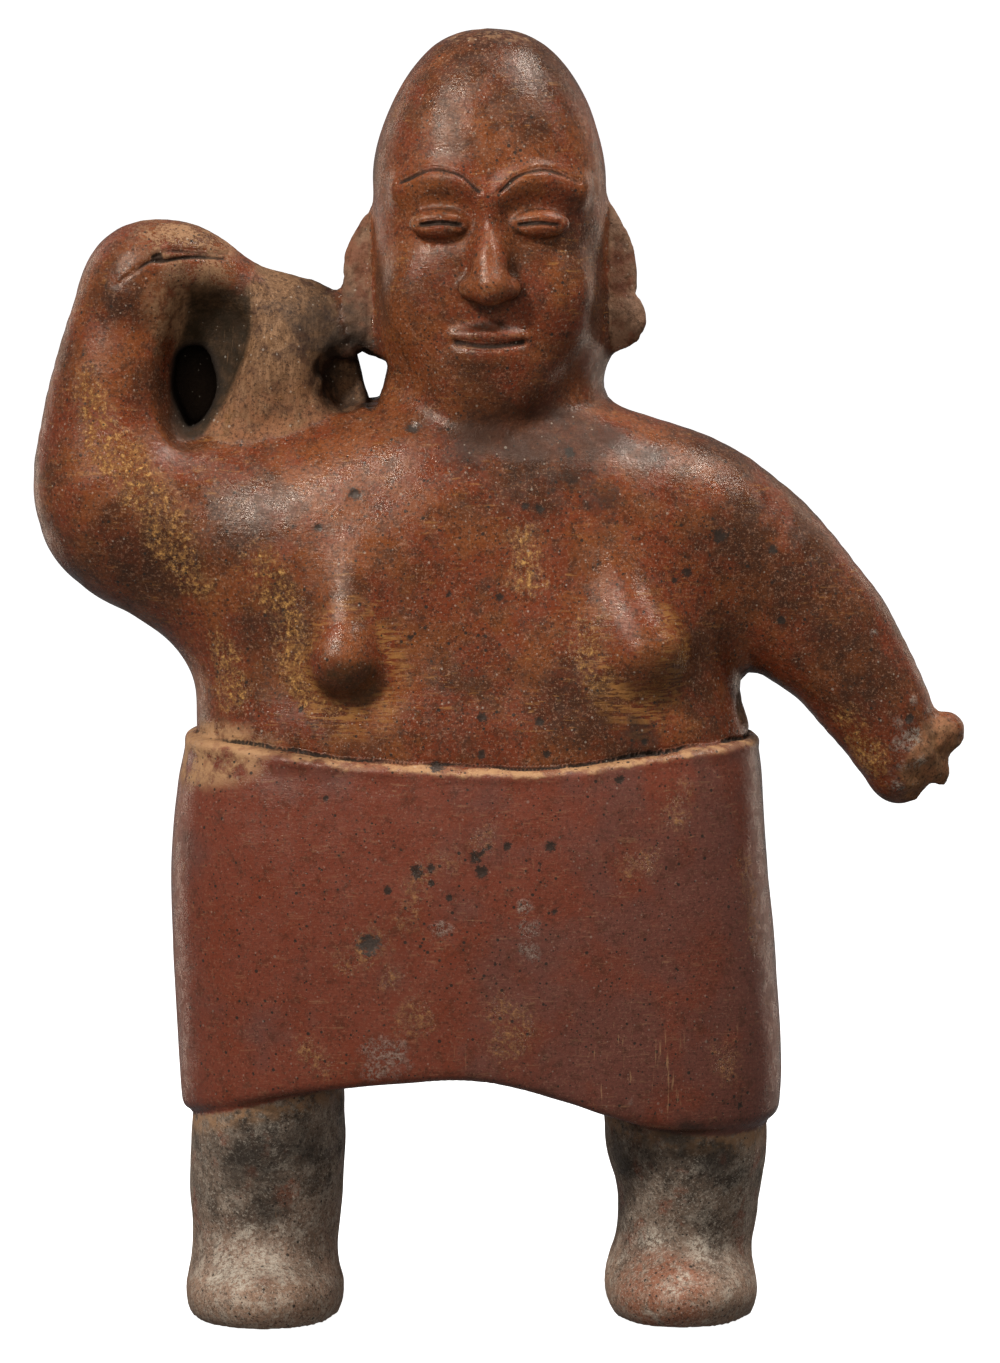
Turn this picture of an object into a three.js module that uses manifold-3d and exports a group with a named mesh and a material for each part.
// A hollow, hand-built figure of fired clay: a standing woman in a long wrapped skirt who steadies
// a rounded load on one shoulder. Head, arms, load, skirt and legs were joined wet and fired as one
// piece, so the model is one solid. Units are millimetres, +Z is up and the figure faces -Y.
//
// The potter's soft joins are made with a signed distance: each form is a function that is negative
// inside the clay, and joins are rounded by a reach in millimetres. The surface where the distance
// is zero is sampled on a grid, thinned to few triangles, and cut flat under the soles.
import * as THREE from "three";
import { mergeVertices } from "three/addons/utils/BufferGeometryUtils.js";
import Module from "manifold-3d";

// Driving dimensions
const HEIGHT = 360;
const FACE_X = -2.9;
const SHOULDER_Z = 223;
const SHOULDER_RADIUS = 29;
const CLAY_LIP = 1.6; // how far the skirt's upper edge stands proud of the waist

// Head: an oval column that closes in a long, blunt dome
const HEAD = {
  halfWidth: 32.5, front: -29, back: 33, domeStart: 318, jawZ: 262, section: 2.3, domeBulge: 1.6,
};

// Torso and skirt: sections from the side, each [z, left, right, front, back]
const TORSO = [
  [140, -86, 68, -45, 42], [165, -85, 69.8, -45.2, 42.4], [178, -83.6, 66.2, -43, 41.5],
  [200, -82, 64, -39, 39], [220, -76, 58, -34, 35], [238, -54, 42, -28, 31], [250, -40, 34, -24, 30],
];
const TORSO_TOP = 247;
const NECK_MIDDLE = 250;
const NECK_HALF = 25;
const NECK = [[228, -40, 34, -26, 31], [250, -31.6, 28.9, -20, 31.5], [268, -31.6, 28.4, -18, 31.5]];
const SKIRT = [
  [46, -86.6, 76.4, -47, 44], [60, -89, 78.8, -49, 46.5], [75, -90.2, 79, -50, 48],
  [103, -91.6, 77.2, -51, 50], [124, -92.2, 75.2, -51, 50], [150, -90.2, 73.2, -49, 46],
  [162, -88, 71.9, -46.5, 44], [172, -86.3, 70, -45, 43],
];
const WAIST_LINE = [[-94, 164], [-72, 162.3], [-45, 159], [-5, 156.6], [20, 157], [55, 161.6], [76, 163]];
const HEM_LINE = [
  [-94, 56], [-75, 62], [-55, 66.4], [-28, 69.5], [-7, 70.4], [17, 64.8], [39, 57.4], [61, 55], [80, 56],
];

// Legs: two stout tubes, sections as above, with a short blunt foot [x, y, z, half sizes]
const LEGS = {
  left: {
    column: [
      [-12, -85.5, -47, -20, 20], [4, -86.4, -45.8, -24, 20.5], [15, -86.1, -46, -28.5, 20.5],
      [35, -86.8, -44, -32, 20.5], [52, -86.4, -43.4, -36.5, 22], [74, -84, -44, -39, 23],
    ],
    foot: { centre: [-65.8, -16.5, 7], half: [21.3, 27, 13.5] },
  },
  right: {
    column: [
      [-12, 35, 69, -20, 20], [4, 32.6, 70.6, -24, 20.5], [13, 30.6, 70, -27.5, 20.5],
      [25, 33, 71.6, -29.5, 20], [35, 33, 73, -32, 20.5], [49, 29.4, 75, -36, 21.5], [74, 30, 73, -39, 23],
    ],
    foot: { centre: [51, -15, 7.5], half: [20.4, 26.5, 13] },
  },
};

const LEG_MIDDLE = 42;
const BODY_IN_SKIRT = 8; // the body ends that much above the hem, inside the skirt
const BELOW_SOLE = 2.5; // clay that the cut under the soles takes away

// Limbs: spines of [x, y, z, radius]
const RAISED_ARM = [
  [-26, 0, SHOULDER_Z, SHOULDER_RADIUS], [-54, 0, SHOULDER_Z - 1, SHOULDER_RADIUS],
  [-80, 0, SHOULDER_Z - 1.5, SHOULDER_RADIUS - 0.5], [-102, -2, 227.5, 27.2], [-108.2, -4, 248, 20],
  [-106.4, -5, 268, 16.8], [-102, -4, 287, 14.3],
];
const RAISED_HAND = [
  [-102, -4, 287, 14], [-99.5, -4, 293, 13.2], [-91.5, -4, 295.2, 11.4], [-84, -3, 293.6, 10.2],
  [-77, -1, 289, 9.1], [-71, 2, 283, 8], [-66, 4, 276, 7],
];
const HANGING_ARM = [
  [20, 0, SHOULDER_Z + 1.5, SHOULDER_RADIUS + 0.5], [40, 0, 222.2, SHOULDER_RADIUS - 0.3],
  [56, 0, 218.4, 25.8], [73.2, 0, 207.7, 22.5], [88, -1, 193.4, 19.8], [96.3, -2, 184, 17.4],
  [106, -3, 169.4, 15], [111.5, -4, 158.8, 12.3],
];
const HANDS_BREAK = [
  [[111, -5, 156, 11], [111.5, -5, 151.5, 8.2]], [[115, -4, 160.5, 9], [124.4, -4, 163.4, 5.8]],
  [[115, -6, 155, 8], [121.8, -7, 153, 4.4]],
];

// The load on the shoulder: a rounded mass with a blunt top, a dent and a gap beside the neck
const LOAD = { centre: [-67, 4, 261.5], half: [28.4, 20, 30] };
const LOAD_TOP = { centre: [-57.5, 4, 277.5], half: [14, 13, 12] };
const LOAD_DENT = { centre: [-42.5, -9, 264.5], half: [7.5, 10, 10] };
const LOAD_GAP = [ // through from front to back, [x, z, radius]
  [-35.6, 253.6, 0.6], [-35.2, 260, 2.6], [-35.2, 266.5, 3.9], [-35.6, 272, 4.2],
];
const GAP_TOP = { z: 269, slope: 0.45 }; // the lobe of the ear closes it, lower towards the neck

// The crook of the raised arm: clay that closes it, a hollow under the hand and a blind hole
const CROOK_WEB = [[-97, 0, 285, 10], [-84, 2, 280, 9.5], [-70, 3, 274, 9.5]];
const CROOK_BACK = { centre: [-84, 15, 262], half: [19, 9, 27] };
const CROOK_HOLLOW = [
  [-80, -15, 275, 10], [-83, -15, 266, 10.5], [-85.5, -15, 256, 7.5], [-87, -15, 249, 4],
];
const CROOK_HOLE = [ // from the front to a blind end, [x, z, radius]
  [-85.4, 266.5, 5], [-85.2, 260.5, 6.2], [-85.4, 254.5, 4], [-86.2, 250.5, 1.4],
];
const CROOK_HOLE_END = 16;
const HAND_DEPTH = 1.3; // the hand is that much deeper than it is high

// Breasts: a narrow cone on the figure's right, a flatter one on its left
const BREASTS = [
  [[-40.5, -31, 213, 5], [-42, -37, 201, 6.6], [-43.5, -41.5, 187, 9]],
  [[33.5, -29, 209, 5.5], [36.5, -32.5, 199, 8.2], [40, -34.5, 189, 11]],
];

// How far each soft join or press is rounded
const SOFT = {
  throat: 10, trunkTop: 14, neckEnds: 10, jaw: 16, head: 7, ear: 3, breast: 10, foot: 8,
  raisedArm: 30, hangingArm: 12, hand: 4, knob: 3, load: 8, loadTop: 5, dent: 4, hollow: 6, hole: 1.6,
  holeEnd: 2, gap: 1.6, waistEdge: 3, hemEdge: 4, hemStart: 2,
};

// Ears: flat flaps, [x, y, z, radius], thinned front to back
const EAR_THINNESS = 0.62;
const EARS = [
  [[-34.2, 2, 304, 5], [-37.7, 1, 296, 5.8], [-37.4, -1, 285, 5.8], [-40.8, -5, 276, 6.2],
    [-34.5, -4, 270, 4.5]],
  [[28.2, 2, 306.5, 5], [31.8, 1, 297, 5.8], [32.3, 0, 285, 6.1], [33.8, -1, 278.2, 6.8], [29, 1, 274, 4.6]],
];

// A calm, even face: the eyes sit halfway between crown and chin, the nose base and the mouth divide
// the lower face in thirds
const CHIN_Z = 253;
const EYE_Z = (HEIGHT + CHIN_Z) / 2;
const BROW_Z = EYE_Z + 11;
const NOSE_Z = EYE_Z - 21;
const MOUTH_Z = EYE_Z - 33;
const EYE_SPACING = 13.5;

// Lines drawn in the wet clay from the front, as [x, z] points, with the tool's radius
const TOOL_RADIUS = 0.9;
const BROW_LINE = [[3, BROW_Z - 2], [8, BROW_Z + 2.5], [16, BROW_Z + 4], [25, BROW_Z + 0.5]];
const EYE_LINE = [
  [EYE_SPACING - 5.5, EYE_Z - 0.2], [EYE_SPACING, EYE_Z + 0.5], [EYE_SPACING + 5.5, EYE_Z - 0.2],
];
const MOUTH_LINE = [[-9.5, MOUTH_Z + 0.4], [0, MOUTH_Z - 0.4], [9.5, MOUTH_Z + 0.4]];
const HAND_LINE = [[-103, 289], [-98, 293.4], [-91, 296], [-83, 296.2], [-75.5, 296.4]];

// Sampling
const GRID_PITCH = 2.5;
const FIELD_BOX = { low: [-142, -72, -26], high: [142, 66, 368] };
const TRIANGLES = 8400;
const STROKE_STEPS = 12;
const SLIVER_COST = 4e-5;
const LEAST_AGREEMENT = 0.3; // cosine between a face before and after an edge is merged
const LEAST_ROUNDNESS = 0.03;

const clamp = (value, low, high) => Math.min(high, Math.max(low, value));

/** Union of two distances, rounded over a reach in millimetres. */
function join(a, b, reach) {
  const overlap = Math.max(reach - Math.abs(a - b), 0) / reach;
  return Math.min(a, b) - (overlap * overlap * reach) / 4;
}

/** The part of a that is also in b, with a rounded edge. */
const keep = (a, b, reach) => -join(-a, -b, reach);

/** What is left of a once b is pressed out of it. */
const press = (a, b, reach) => keep(a, -b, reach);

/** A smooth curve through rows of [position, value, value, ...], flat beyond both ends. */
function through(rows) {
  const slope = (i, k) => {
    const before = rows[Math.max(i - 1, 0)];
    const after = rows[Math.min(i + 1, rows.length - 1)];
    return (after[k] - before[k]) / (after[0] - before[0]);
  };
  return (position) => {
    const s = clamp(position, rows[0][0], rows[rows.length - 1][0]);
    let i = 0;
    while (i < rows.length - 2 && s > rows[i + 1][0]) i += 1;
    const span = rows[i + 1][0] - rows[i][0];
    const t = (s - rows[i][0]) / span;
    const early = (1 + 2 * t) * (1 - t) ** 2;
    const earlySlope = t * (1 - t) ** 2 * span;
    const lateSlope = t * t * (t - 1) * span;
    return rows[i].slice(1).map((value, j) => (
      early * value + (1 - early) * rows[i + 1][j + 1]
      + earlySlope * slope(i, j + 1) + lateSlope * slope(i + 1, j + 1)));
  };
}

/** Values of a curve kept at every half millimetre, so that the field is quick to ask. */
function tabled(rows) {
  const curve = through(rows);
  const first = rows[0][0];
  const last = rows[rows.length - 1][0];
  const steps = Math.round((last - first) * 2);
  const table = Array.from({ length: steps + 1 }, (_, i) => curve(first + i / 2));
  return (position) => table[Math.round(clamp((position - first) * 2, 0, steps))];
}

/** Distance to an upright column whose section changes with height. */
function column(sections, exponent) {
  const at = tabled(sections);
  return (x, y, z) => {
    const [left, right, front, back] = at(z);
    const dx = x - (left + right) / 2;
    const dy = y - (front + back) / 2;
    return sectionDistance(dx, dy, (right - left) / 2, (back - front) / 2, exponent);
  };
}

/** Distance to an oval of the given half sizes, squarer as the exponent grows. */
function sectionDistance(dx, dy, halfX, halfY, exponent) {
  const reach = Math.hypot(dx, dy);
  if (reach < 1e-6) return -Math.min(halfX, halfY);
  const share = (Math.abs(dx / halfX) ** exponent + Math.abs(dy / halfY) ** exponent) ** (1 / exponent);
  return reach * (1 - 1 / share);
}

/** Distance to an ellipsoid. */
function ellipsoid(x, y, z, { centre, half }) {
  const d = [x - centre[0], y - centre[1], z - centre[2]];
  const near = Math.hypot(d[0] / half[0], d[1] / half[1], d[2] / half[2]);
  const steep = Math.hypot(d[0] / half[0] ** 2, d[1] / half[1] ** 2, d[2] / half[2] ** 2);
  return near < 1e-6 ? -Math.min(...half) : (near * (near - 1)) / steep;
}

/** Distance to a round limb along a smooth spine of [x, y, z, radius] points. */
function limb(points, stepsPerSpan = 4) {
  const rows = points.map((point, i) => [i, ...point]);
  const spine = through(rows);
  const count = (points.length - 1) * stepsPerSpan;
  const beads = Array.from({ length: count + 1 }, (_, i) => spine(i / stepsPerSpan));
  const widest = Math.max(...beads.map((bead) => bead[3]));
  const box = new THREE.Box3().setFromPoints(beads.map(([x, y, z]) => new THREE.Vector3(x, y, z)));
  const far = 30;
  return (x, y, z) => {
    const away = Math.max(
      box.min.x - x, x - box.max.x, box.min.y - y, y - box.max.y, box.min.z - z, z - box.max.z);
    if (away > widest + far) return away - widest;
    let nearest = Infinity;
    for (let i = 0; i < count; i += 1) {
      const [ax, ay, az, ar] = beads[i];
      const [bx, by, bz, br] = beads[i + 1];
      const ux = bx - ax;
      const uy = by - ay;
      const uz = bz - az;
      const along = ((x - ax) * ux + (y - ay) * uy + (z - az) * uz) / (ux * ux + uy * uy + uz * uz);
      const t = clamp(along, 0, 1);
      const d = Math.hypot(x - ax - t * ux, y - ay - t * uy, z - az - t * uz) - ar - t * (br - ar);
      nearest = Math.min(nearest, d);
    }
    return nearest;
  };
}

/** The head's oval column with its dome. */
function skull(x, y, z) {
  const rise = clamp((z - HEAD.domeStart) / (HEIGHT - HEAD.domeStart), 0, 0.9995);
  const width = HEAD.halfWidth * (1 - rise ** HEAD.domeBulge) ** (1 / HEAD.section);
  const depth = (width / HEAD.halfWidth) * ((HEAD.back - HEAD.front) / 2);
  const side = sectionDistance(x - FACE_X, y - (HEAD.front + HEAD.back) / 2, width, depth, HEAD.section);
  return keep(keep(side, z - HEIGHT, 1), HEAD.jawZ - z, SOFT.jaw);
}

const browRidge = limb([
  [2, HEAD.front + 1.5, BROW_Z - 4, 3.2], [12, HEAD.front + 3, BROW_Z + 1, 3.4],
  [24, HEAD.front + 9.5, BROW_Z - 2, 3.2]]);
const nose = limb([
  [FACE_X, HEAD.front + 4.5, BROW_Z - 5, 4.8], [FACE_X, HEAD.front - 3.5, NOSE_Z + 10, 5],
  [FACE_X, HEAD.front - 6, NOSE_Z + 4, 5.6]]);
const chin = limb([
  [FACE_X - 5, HEAD.front + 10, CHIN_Z + 10, 11], [FACE_X + 5, HEAD.front + 10, CHIN_Z + 10, 11]]);

/** Straight nose with its wings, almond eyes laid on as pellets, two even lips, a round chin. */
function face(d, x, y, z) {
  const across = Math.abs(x - FACE_X);
  const mirrored = (dx, y0, z0, half) => ellipsoid(across, y, z, { centre: [dx, y0, z0], half });
  let clay = join(d, browRidge(across, y, z), 5);
  clay = join(clay, mirrored(16, HEAD.front + 9, NOSE_Z + 1, [11, 8, 13]), 8);
  clay = join(clay, nose(x, y, z), 4);
  clay = join(clay, mirrored(4.8, HEAD.front - 3.5, NOSE_Z + 3.4, [4, 4.4, 3.4]), 2);
  const socket = mirrored(EYE_SPACING, HEAD.front - 5, EYE_Z + 1, [11.5, 6.5, 7.5]);
  clay = press(clay, socket, 5);
  clay = join(clay, mirrored(EYE_SPACING, HEAD.front + 2.4, EYE_Z, [8.6, 4.6, 4.2]), 1.5);
  clay = join(clay, ellipsoid(x, y, z, {
    centre: [FACE_X, HEAD.front + 0.6, MOUTH_Z + 2.2], half: [11.5, 3.8, 2.6] }), 2.5);
  clay = join(clay, ellipsoid(x, y, z, {
    centre: [FACE_X, HEAD.front + 0.8, MOUTH_Z - 2.6], half: [10, 4, 2.9] }), 2.5);
  return join(clay, chin(x, y, z), 9);
}

const neck = column(NECK, 2.2);
const torso = column(TORSO, 2.6);
const skirt = column(SKIRT, 3);
const waist = tabled(WAIST_LINE);
const hem = tabled(HEM_LINE);
const raisedArm = limb(RAISED_ARM);
const raisedHand = limb(RAISED_HAND.map(([x, y, z, radius]) => [x, y / HAND_DEPTH, z, radius]));
const hangingArm = limb(HANGING_ARM);
const brokenHand = HANDS_BREAK.map((knob) => limb(knob, 1));
const breasts = BREASTS.map((points) => limb(points));
const ears = EARS.map((points) => limb(points.map(([x, y, z, r]) => [x, y / EAR_THINNESS, z, r])));
const crookWeb = limb(CROOK_WEB);
const crookHollow = limb(CROOK_HOLLOW);
const crookHole = limb(CROOK_HOLE.map(([x, z, radius]) => [x, 0, z, radius]));
const gapSides = limb(LOAD_GAP.map(([x, z, radius]) => [x, 0, z, radius]));
const legs = Object.values(LEGS).map((leg) => ({ tube: column(leg.column, 2.2), foot: leg.foot }));

/** Both arms, the load and the clay in the crook of the raised arm. */
function armsAndLoad(body, x, y, z) {
  let clay = join(body, hangingArm(x, y, z), SOFT.hangingArm);
  brokenHand.forEach((knob) => { clay = join(clay, knob(x, y, z), SOFT.knob); });
  const lifted = join(raisedArm(x, y, z), raisedHand(x, y / HAND_DEPTH, z), SOFT.hand);
  clay = join(clay, lifted, SOFT.raisedArm);
  const crook = join(crookWeb(x, y, z), ellipsoid(x, y, z, CROOK_BACK), SOFT.load);
  const mass = join(ellipsoid(x, y, z, LOAD), ellipsoid(x, y, z, LOAD_TOP), SOFT.loadTop);
  clay = join(clay, join(mass, crook, SOFT.load), SOFT.load);
  clay = press(clay, ellipsoid(x, y, z, LOAD_DENT), SOFT.dent);
  clay = press(clay, crookHollow(x, y, z), SOFT.hollow);
  return press(clay, keep(crookHole(x, 0, z), y - CROOK_HOLE_END, SOFT.holeEnd), SOFT.hole);
}

/** The gap between load, neck and ear: a slot that runs through from front to back. */
function loadGap(x, z) {
  const above = z - GAP_TOP.z + GAP_TOP.slope * (x - LOAD_GAP[0][0]);
  return keep(gapSides(x, 0, z), above, 1);
}

/** The whole figure. */
function figureDistance(x, y, z) {
  const trunk = keep(torso(x, y, z), z - TORSO_TOP, SOFT.trunkTop);
  const throat = keep(neck(x, y, z), Math.abs(z - NECK_MIDDLE) - NECK_HALF, SOFT.neckEnds);
  let clay = join(trunk, throat, SOFT.throat);
  clay = armsAndLoad(clay, x, y, z);
  let head = face(skull(x, y, z), x, y, z);
  ears.forEach((ear) => { head = join(head, ear(x, y / EAR_THINNESS, z) * EAR_THINNESS, SOFT.ear); });
  clay = press(join(clay, head, SOFT.head), loadGap(x, z), SOFT.gap);
  breasts.forEach((breast) => { clay = join(clay, breast(x, y, z), SOFT.breast); });
  let cloth = keep(skirt(x, y, z), z - waist(x)[0], SOFT.waistEdge);
  cloth = keep(cloth, hem(x)[0] - z, SOFT.hemEdge);
  const upper = keep(clay, hem(x)[0] + BODY_IN_SKIRT - z, 1);
  let lower = Infinity;
  legs.forEach(({ tube, foot }) => {
    const leg = keep(tube(x, y, z), Math.abs(z - LEG_MIDDLE) - LEG_MIDDLE - BELOW_SOLE, SOFT.foot);
    lower = Math.min(lower, join(leg, ellipsoid(x, y, z, foot), SOFT.foot));
  });
  return join(join(cloth, upper, CLAY_LIP * 1.5), lower, SOFT.hemStart);
}

/** Samples the distance on a grid that covers the figure. */
function sampleGrid(box) {
  const size = box.getSize(new THREE.Vector3());
  const counts = [size.x, size.y, size.z].map((length) => Math.ceil(length / GRID_PITCH) + 1);
  const [nx, ny, nz] = counts;
  const values = new Float64Array(nx * ny * nz);
  for (let k = 0; k < nz; k += 1) {
    for (let j = 0; j < ny; j += 1) {
      for (let i = 0; i < nx; i += 1) {
        const at = [box.min.x + i * GRID_PITCH, box.min.y + j * GRID_PITCH, box.min.z + k * GRID_PITCH];
        values[(k * ny + j) * nx + i] = figureDistance(...at) || 1e-9;
      }
    }
  }
  return { counts, values, origin: box.min };
}

/** Marching tetrahedra: each cell is split in six, all round the same diagonal. */
function polygonise({ counts: [nx, ny, nz], values, origin }) {
  const offset = (bits) => ((bits & 4 ? ny : 0) + (bits & 2 ? 1 : 0)) * nx + (bits & 1);
  const paths = [[1, 3], [3, 2], [2, 6], [6, 4], [4, 5], [5, 1]];
  const positions = [];
  const faces = [];
  const made = new Map();
  const place = (index) => [
    origin.x + (index % nx) * GRID_PITCH,
    origin.y + (Math.floor(index / nx) % ny) * GRID_PITCH,
    origin.z + Math.floor(index / (nx * ny)) * GRID_PITCH,
  ];
  const crossing = (a, b) => {
    const key = a < b ? a * values.length + b : b * values.length + a;
    if (!made.has(key)) {
      const share = clamp(values[a] / (values[a] - values[b]), 0.02, 0.98);
      const from = place(a);
      made.set(key, positions.length);
      positions.push(place(b).map((value, axis) => from[axis] + share * (value - from[axis])));
    }
    return made.get(key);
  };
  const emit = (corners) => {
    const inside = corners.filter((corner) => values[corner] < 0);
    const outside = corners.filter((corner) => values[corner] >= 0);
    if (!inside.length || !outside.length) return;
    const swaps = permutationSign(corners, [...inside, ...outside]);
    const [a, b, c, d] = [...inside, ...outside];
    let loop;
    if (inside.length === 1) loop = [[a, b], [a, c], [a, d]];
    if (inside.length === 2) loop = [[a, c], [a, d], [b, d], [b, c]];
    if (inside.length === 3) loop = [[a, d], [b, d], [c, d]];
    const ring = loop.map(([from, to]) => crossing(from, to));
    if (swaps < 0) ring.reverse();
    for (let i = 1; i + 1 < ring.length; i += 1) faces.push([ring[0], ring[i], ring[i + 1]]);
  };
  for (let k = 0; k + 1 < nz; k += 1) {
    for (let j = 0; j + 1 < ny; j += 1) {
      for (let i = 0; i + 1 < nx; i += 1) {
        const base = (k * ny + j) * nx + i;
        paths.forEach(([first, second]) => {
          emit([base, base + offset(first), base + offset(second), base + offset(7)]);
        });
      }
    }
  }
  return { positions, faces };
}

/** +1 where the second order is an even permutation of the first, else -1. */
function permutationSign(before, after) {
  const order = after.map((item) => before.indexOf(item));
  let sign = 1;
  for (let i = 0; i < order.length; i += 1) {
    for (let j = i + 1; j < order.length; j += 1) if (order[i] > order[j]) sign = -sign;
  }
  return sign;
}

/** Error quadrics of a mesh's faces, summed at their corners: ten numbers a corner. */
function cornerQuadrics(positions, faces) {
  const quadrics = new Float64Array(positions.length * 10);
  faces.forEach((corners) => {
    const [a, b, c] = corners.map((corner) => positions[corner]);
    const normal = crossProduct(a, b, c);
    const twiceArea = Math.hypot(...normal) || 1e-12;
    const [nx, ny, nz] = normal.map((value) => value / twiceArea);
    const w = -(nx * a[0] + ny * a[1] + nz * a[2]);
    const terms = [nx * nx, nx * ny, nx * nz, nx * w, ny * ny, ny * nz, ny * w, nz * nz, nz * w, w * w];
    corners.forEach((corner) => {
      terms.forEach((term, i) => { quadrics[corner * 10 + i] += term * twiceArea; });
    });
  });
  return quadrics;
}

function crossProduct(a, b, c) {
  const u = [b[0] - a[0], b[1] - a[1], b[2] - a[2]];
  const v = [c[0] - a[0], c[1] - a[1], c[2] - a[2]];
  return [u[1] * v[2] - u[2] * v[1], u[2] * v[0] - u[0] * v[2], u[0] * v[1] - u[1] * v[0]];
}

/** Twice a triangle's area against its longest side squared: 0.87 when it is equilateral. */
function roundness(corners) {
  const longest = Math.max(...corners.map((corner, i) => (
    Math.hypot(...corner.map((value, axis) => value - corners[(i + 1) % 3][axis])))));
  return Math.hypot(...crossProduct(...corners)) / longest ** 2;
}

/** A heap of [cost, ...] entries, cheapest first. */
class Queue {
  constructor() { this.items = []; }

  push(item) {
    const { items } = this;
    let i = items.push(item) - 1;
    while (i > 0) {
      const parent = (i - 1) >> 1;
      if (items[parent][0] <= item[0]) break;
      items[i] = items[parent];
      i = parent;
    }
    items[i] = item;
  }

  pop() {
    const { items } = this;
    const top = items[0];
    const item = items.pop();
    if (!items.length) return top;
    let i = 0;
    for (;;) {
      let child = 2 * i + 1;
      if (child >= items.length) break;
      if (child + 1 < items.length && items[child + 1][0] < items[child][0]) child += 1;
      if (items[child][0] >= item[0]) break;
      items[i] = items[child];
      i = child;
    }
    items[i] = item;
    return top;
  }
}

/** Merges edge ends, cheapest first, until the mesh has no more than the wanted number of faces. */
function thin({ positions, faces }, wanted) {
  const quadrics = cornerQuadrics(positions, faces);
  const around = positions.map(() => new Set());
  faces.forEach((corners, f) => corners.forEach((corner) => around[corner].add(f)));
  const stamp = new Int32Array(positions.length);
  const queue = new Queue();

  const bestPlace = (a, b) => {
    const q = Array.from({ length: 10 }, (_, i) => quadrics[a * 10 + i] + quadrics[b * 10 + i]);
    const pull = 1e-3 * (q[0] + q[4] + q[7]);
    const middle = positions[a].map((value, axis) => (value + positions[b][axis]) / 2);
    const matrix = new THREE.Matrix3(
      q[0] + pull, q[1], q[2], q[1], q[4] + pull, q[5], q[2], q[5], q[7] + pull);
    const right = new THREE.Vector3(
      pull * middle[0] - q[3], pull * middle[1] - q[6], pull * middle[2] - q[8]);
    const place = right.applyMatrix3(matrix.invert()).toArray();
    const [x, y, z] = place;
    const error = x * (q[0] * x + 2 * (q[1] * y + q[2] * z + q[3])) + y * (q[4] * y + 2 * (q[5] * z + q[6]))
      + z * (q[7] * z + 2 * q[8]) + q[9];
    const length = Math.hypot(...positions[a].map((value, axis) => value - positions[b][axis]));
    return { place, cost: Math.max(error, 0) + SLIVER_COST * length ** 4 };
  };
  const offer = (a, b) => {
    const { cost } = bestPlace(a, b);
    queue.push([cost, a, b, stamp[a], stamp[b]]);
  };
  const neighbours = (corner) => {
    const found = new Set();
    around[corner].forEach((f) => faces[f].forEach((other) => found.add(other)));
    found.delete(corner);
    return found;
  };
  const spoils = (corner, other, place) => [...around[corner]].some((f) => {
    if (faces[f].includes(other)) return false;
    const before = faces[f].map((v) => positions[v]);
    const after = faces[f].map((v) => (v === corner ? place : positions[v]));
    const n0 = crossProduct(...before);
    const n1 = crossProduct(...after);
    const alike = n0[0] * n1[0] + n0[1] * n1[1] + n0[2] * n1[2];
    const agreement = alike / (Math.hypot(...n0) * Math.hypot(...n1));
    return !(agreement > LEAST_AGREEMENT) || roundness(after) < Math.min(roundness(before), LEAST_ROUNDNESS);
  });
  const offerAll = () => {
    faces.filter(Boolean).forEach(([a, b, c]) => {
      [[a, b], [b, c], [c, a]].forEach(([from, to]) => { if (from < to) offer(from, to); });
    });
  };

  let left = faces.length;
  let leftBefore = Infinity;
  while (left > wanted && left < leftBefore) {
    leftBefore = left;
    offerAll();
    while (left > wanted && queue.items.length) {
      const [, a, b, stampA, stampB] = queue.pop();
      if (stamp[a] !== stampA || stamp[b] !== stampB) continue;
      const ofB = neighbours(b);
      const shared = [...neighbours(a)].filter((corner) => ofB.has(corner));
      const { place } = bestPlace(a, b);
      if (shared.length !== 2 || spoils(a, b, place) || spoils(b, a, place)) continue;
      positions[a] = place;
      for (let i = 0; i < 10; i += 1) quadrics[a * 10 + i] += quadrics[b * 10 + i];
      [...around[b]].forEach((f) => {
        if (faces[f].includes(a)) {
          faces[f].forEach((corner) => around[corner].delete(f));
          faces[f] = null;
          left -= 1;
          return;
        }
        faces[f] = faces[f].map((corner) => (corner === b ? a : corner));
        around[a].add(f);
      });
      around[b].clear();
      stamp[b] = -1;
      stamp[a] += 1;
      neighbours(a).forEach((corner) => offer(a, corner));
    }
  }
  return { positions, faces: faces.filter(Boolean) };
}

function toGeometry({ positions, faces }) {
  const geometry = new THREE.BufferGeometry();
  geometry.setAttribute("position", new THREE.Float32BufferAttribute(positions.flat(), 3));
  geometry.setIndex(faces.flat());
  return geometry;
}

/** The same geometry with only its used corners, each once. */
function welded(geometry) {
  const bare = geometry.index ? geometry.toNonIndexed() : geometry.clone();
  bare.deleteAttribute("normal");
  bare.deleteAttribute("uv");
  return mergeVertices(bare, 1e-4);
}

const wasm = await Module();
wasm.setup();

function toSolid(geometry) {
  const { attributes, index } = welded(geometry);
  return new wasm.Manifold(new wasm.Mesh({
    numProp: 3,
    vertProperties: new Float32Array(attributes.position.array),
    triVerts: new Uint32Array(index.array),
  }));
}

function fromSolid(solid) {
  const { vertProperties, triVerts } = solid.getMesh();
  const geometry = new THREE.BufferGeometry();
  geometry.setAttribute("position", new THREE.BufferAttribute(vertProperties, 3));
  geometry.setIndex(new THREE.BufferAttribute(triVerts, 1));
  return geometry;
}

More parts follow.
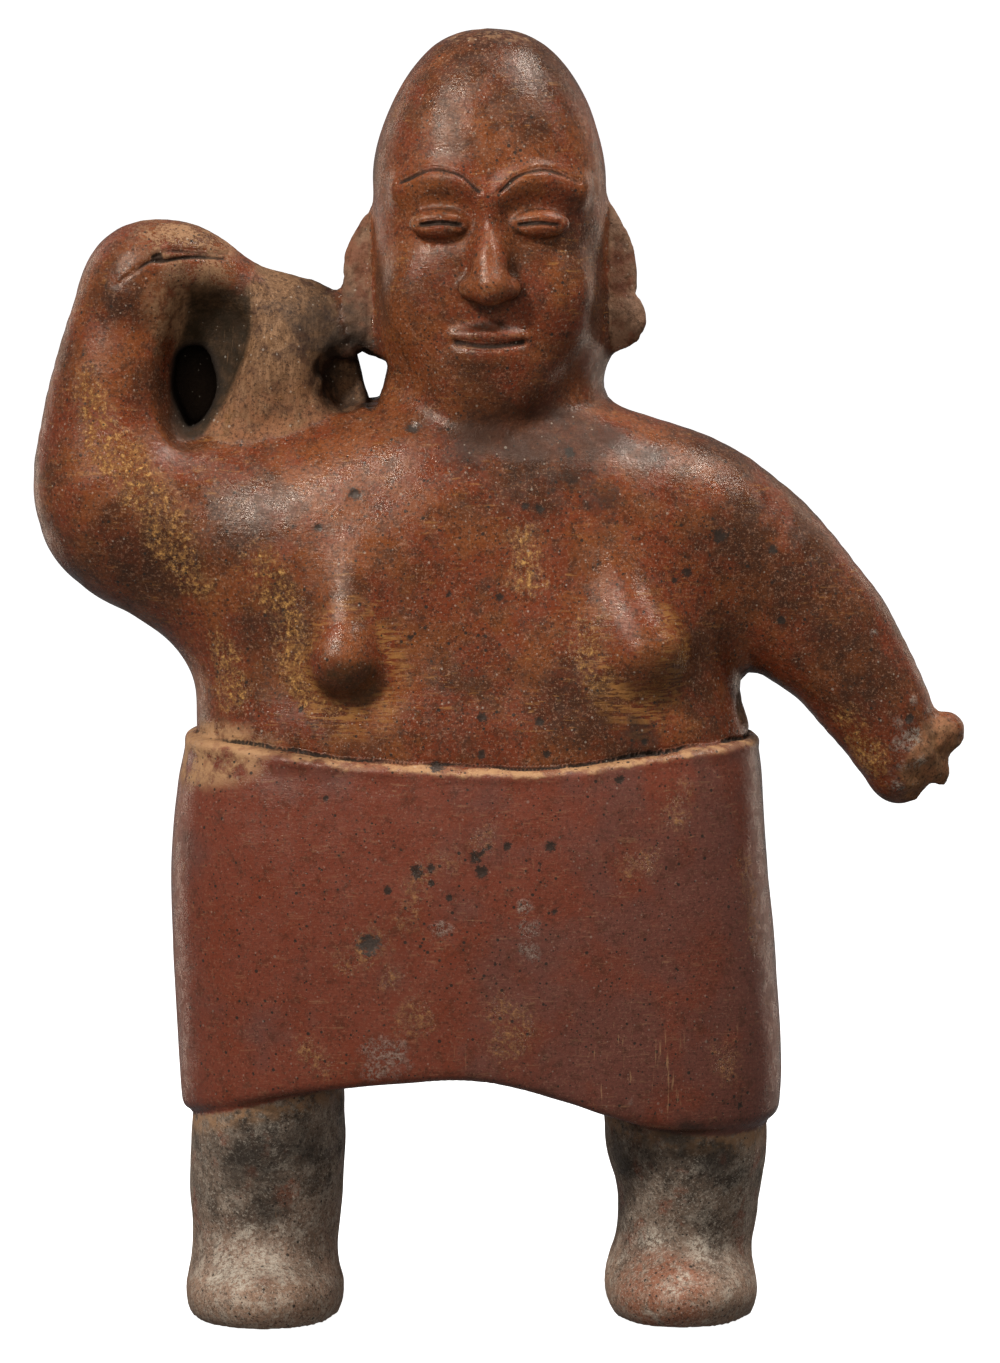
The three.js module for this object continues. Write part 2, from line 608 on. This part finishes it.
/** Depth of the clay's front at a place seen from the front. */
function frontDepth(x, z) {
  let y = FIELD_BOX.low[1];
  for (let step = 0; step < 60; step += 1) y += 0.8 * figureDistance(x, y, z);
  return y;
}

/** A round tool drawn along the clay's front through [x, z] points. */
function toolStroke(points) {
  const path = new THREE.CatmullRomCurve3(points.map(([x, z]) => new THREE.Vector3(x, frontDepth(x, z), z)));
  const onClay = path.getPoints(STROKE_STEPS).map(({ x, z }) => new THREE.Vector3(x, frontDepth(x, z), z));
  const section = new THREE.Shape();
  section.absarc(0, 0, TOOL_RADIUS, 0, 2 * Math.PI);
  return new THREE.ExtrudeGeometry(section, {
    extrudePath: new THREE.CatmullRomCurve3(onClay), steps: STROKE_STEPS, curveSegments: 3,
  });
}

/** Every stroke of the face and the hand. */
function toolStrokes() {
  const onFace = (points, side) => points.map(([x, z]) => [FACE_X + side * x, z]);
  const strokes = [-1, 1].flatMap((side) => [onFace(BROW_LINE, side), onFace(EYE_LINE, side)]);
  return [...strokes, onFace(MOUTH_LINE, 1), HAND_LINE].map(toolStroke);
}

/** The clay, with its drawn lines, cut flat where the soles stand. */
function figureGeometry() {
  const box = new THREE.Box3(
    new THREE.Vector3(...FIELD_BOX.low), new THREE.Vector3(...FIELD_BOX.high));
  const clay = toSolid(toGeometry(thin(polygonise(sampleGrid(box)), TRIANGLES)));
  const { low, high } = FIELD_BOX;
  const ground = new THREE.BoxGeometry(high[0] - low[0], high[1] - low[1], -2 * low[2]);
  ground.translate((high[0] + low[0]) / 2, (high[1] + low[1]) / 2, low[2]);
  const cutters = [ground, ...toolStrokes()].map(toSolid);
  return fromSolid(cutters.reduce((rest, cutter) => rest.subtract(cutter), clay));
}

const redSlip = new THREE.MeshStandardMaterial({ color: 0x8a4530, roughness: 0.45, metalness: 0 });
const geometry = figureGeometry();
geometry.computeBoundingBox();
const middle = geometry.boundingBox.getCenter(new THREE.Vector3());
geometry.translate(-middle.x, -middle.y, 0);
geometry.computeVertexNormals();
const figure = new THREE.Mesh(geometry, redSlip);
figure.name = "pottery_figure";

const object = new THREE.Group();
object.add(figure);

export default object;
